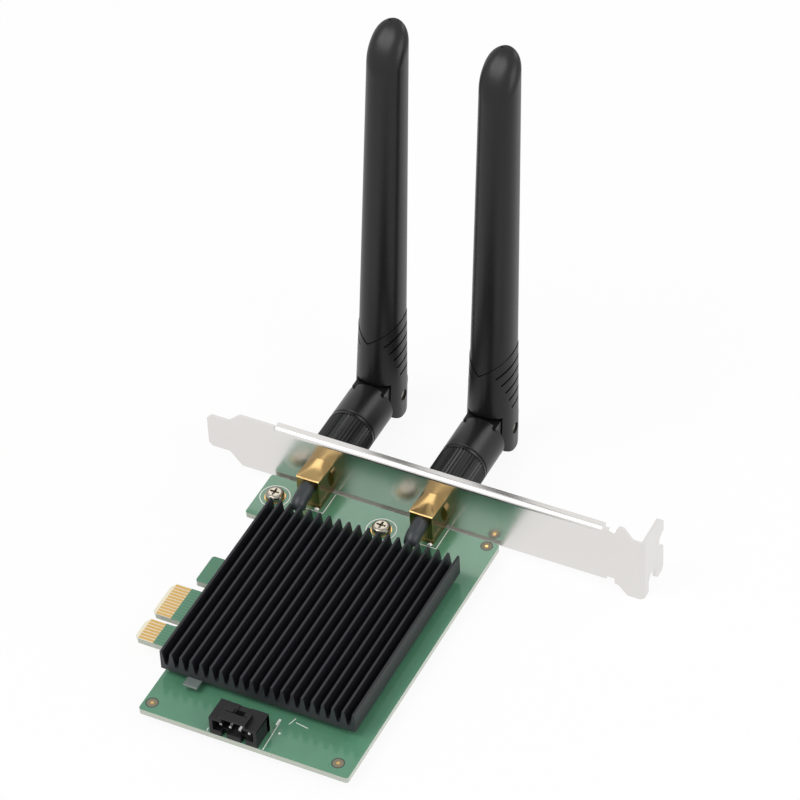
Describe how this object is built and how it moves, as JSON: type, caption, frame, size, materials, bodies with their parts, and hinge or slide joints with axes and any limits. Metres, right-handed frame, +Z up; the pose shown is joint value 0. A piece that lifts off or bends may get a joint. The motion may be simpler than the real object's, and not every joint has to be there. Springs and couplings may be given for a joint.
{
  "type": "wireless network card",
  "caption": "Expansion card for a computer's slot: green board with gold edge contacts, black finned heat sink, steel bracket and hinged black antennas on screw-on couplings.",
  "frame": {"origin": "middle of the key slot on the contact tongue's leading edge, at the board's mid-plane", "axes": "+X from the contact edge into the board and along the bracket to its screw tab, +Y from the board to the bracket and the antennas, +Z up out of the component side"},
  "size_m": [0.12, 0.1355, 0.1195],
  "materials": {
    "solder_mask": "green solder mask, glossy",
    "gold_plate": "polished gold plate",
    "nickel_steel": "bright nickel plate",
    "screw_steel": "bright nickel plate",
    "black_anodised": "black anodised, satin",
    "silicone_pad": "matt grey silicone",
    "dark_laminate": "dark solder mask",
    "shield_metal": "tin plate",
    "black_nylon": "matt moulded nylon",
    "tinned_pin": "tin plate",
    "ceramic_chip": "fired ceramic",
    "white_fluoropolymer": "matt white",
    "cable_jacket": "smooth black jacket",
    "heat_shrink": "satin black",
    "plain_brass": "turned brass",
    "antenna_black": "satin black moulding",
    "bare_laminate": "bare glass laminate"
  },
  "bodies": {
    "card": {"circuit_board": "solder_mask", "edge_contacts": "gold_plate", "bracket": "nickel_steel", "bracket_screws": "screw_steel", "heat_sink": "black_anodised", "thermal_pad": "silicone_pad", "support_pad": "silicone_pad", "radio_module": "dark_laminate", "module_shield": "shield_metal", "header_housing": "black_nylon", "header_pins": "tinned_pin", "chip_capacitors": "ceramic_chip", "left_jack_body": "gold_plate", "left_jack_insulator": "white_fluoropolymer", "left_jack_contact": "gold_plate", "left_jack_washer": "gold_plate", "left_jack_nut": "gold_plate", "left_pigtail_cable": "cable_jacket", "left_pigtail_sleeve": "heat_shrink", "left_pigtail_plug": "gold_plate", "left_module_socket": "gold_plate", "right_jack_body": "gold_plate", "right_jack_insulator": "white_fluoropolymer", "right_jack_contact": "gold_plate", "right_jack_washer": "gold_plate", "right_jack_nut": "gold_plate", "right_pigtail_cable": "cable_jacket", "right_pigtail_sleeve": "heat_shrink", "right_pigtail_plug": "gold_plate", "right_module_socket": "gold_plate"},
    "left_plug_core": {"left_plug_body": "plain_brass", "left_plug_insulator": "white_fluoropolymer", "left_plug_contact": "gold_plate"},
    "left_ring": {"left_knurled_sleeve": "antenna_black", "left_coupling_nut": "plain_brass"},
    "left_elbow_body": {"left_elbow": "antenna_black"},
    "left_antenna": {"left_boot": "antenna_black", "left_blade": "antenna_black", "left_hinge_pin": "screw_steel", "left_radiator": "bare_laminate"},
    "right_plug_core": {"right_plug_body": "plain_brass", "right_plug_insulator": "white_fluoropolymer", "right_plug_contact": "gold_plate"},
    "right_ring": {"right_knurled_sleeve": "antenna_black", "right_coupling_nut": "plain_brass"},
    "right_elbow_body": {"right_elbow": "antenna_black"},
    "right_antenna": {"right_boot": "antenna_black", "right_blade": "antenna_black", "right_hinge_pin": "screw_steel", "right_radiator": "bare_laminate"}
  },
  "joints": [
    {"name": "left_plug_draw", "type": "slide", "parent": "card", "child": "left_plug_core", "axis": [0, 1, 0], "range_m": [0, 0.0049]},
    {"name": "left_ring_turn", "type": "hinge", "parent": "left_plug_core", "child": "left_ring", "pos_m": [0.0185, 0.06775, 0.00579], "axis": [0, 1, 0], "range_deg": [0, 2600]},
    {"name": "left_swivel", "type": "hinge", "parent": "left_plug_core", "child": "left_elbow_body", "pos_m": [0.0185, 0.08, 0.00579], "axis": [0, 1, 0], "range_deg": [-180, 5]},
    {"name": "left_tilt", "type": "hinge", "parent": "left_elbow_body", "child": "left_antenna", "pos_m": [0.0185, 0.09195, 0.00579], "axis": [0.9998, 0, -0.0192], "range_deg": [-85.3, 4.7]},
    {"name": "right_plug_draw", "type": "slide", "parent": "card", "child": "right_plug_core", "axis": [0, 1, 0], "range_m": [0, 0.0049]},
    {"name": "right_ring_turn", "type": "hinge", "parent": "right_plug_core", "child": "right_ring", "pos_m": [0.0499, 0.06775, 0.00579], "axis": [0, 1, 0], "range_deg": [0, 2600]},
    {"name": "right_swivel", "type": "hinge", "parent": "right_plug_core", "child": "right_elbow_body", "pos_m": [0.0499, 0.08, 0.00579], "axis": [0, 1, 0], "range_deg": [-5, 180]},
    {"name": "right_tilt", "type": "hinge", "parent": "right_elbow_body", "child": "right_antenna", "pos_m": [0.0499, 0.09195, 0.00579], "axis": [1, 0, 0], "range_deg": [-84.8, 5.2]}
  ],
  "couplings": [
    {"joint": "left_ring_turn", "follows": "left_plug_draw", "rad_per_m": 8904.8},
    {"joint": "right_ring_turn", "follows": "right_plug_draw", "rad_per_m": 8904.8}
  ]
}
